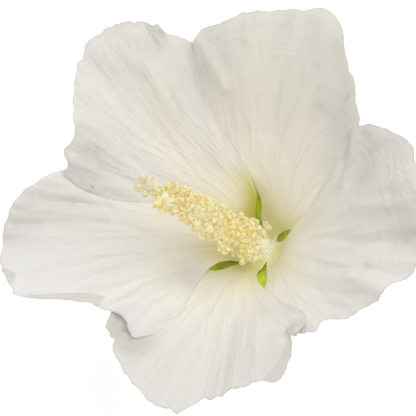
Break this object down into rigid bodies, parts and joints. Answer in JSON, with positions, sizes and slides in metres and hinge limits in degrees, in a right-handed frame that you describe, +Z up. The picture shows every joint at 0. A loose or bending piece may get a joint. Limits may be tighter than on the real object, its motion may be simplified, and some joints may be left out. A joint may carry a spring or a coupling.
{
  "type": "rose of sharon flower",
  "caption": "Open white hibiscus blossom with broad overlapping ruffled petals, a long stamen column and a green calyx, picked and lying face up on a table.",
  "frame": {"origin": "centre of the bounding box's bottom face, on the surface that the blossom lies on", "axes": "+Z up from that surface; the flower's face leans 42 degrees from upright, towards the direction 150 degrees round from +X"},
  "size_m": [0.076, 0.0798, 0.059],
  "materials": {
    "petal": "matt, velvety white with fine raised veins, pale yellow-green towards the claw",
    "stamens": "matt cream anthers dusted with golden pollen on white filaments",
    "pistil": "soft greenish white, downy stigma heads",
    "calyx": "matt fresh green with fine hairs and faint ribs",
    "bracts": "matt green, slightly darker than the calyx",
    "stalk": "matt green with a pale cut end"
  },
  "bodies": {
    "root": {"petal_left": "petal", "petal_lower": "petal", "petal_right": "petal", "petal_upper_right": "petal", "petal_upper_left": "petal", "staminal_column": "stamens", "pistil": "pistil", "calyx": "calyx", "epicalyx": "bracts", "stalk": "stalk"}
  },
  "joints": []
}
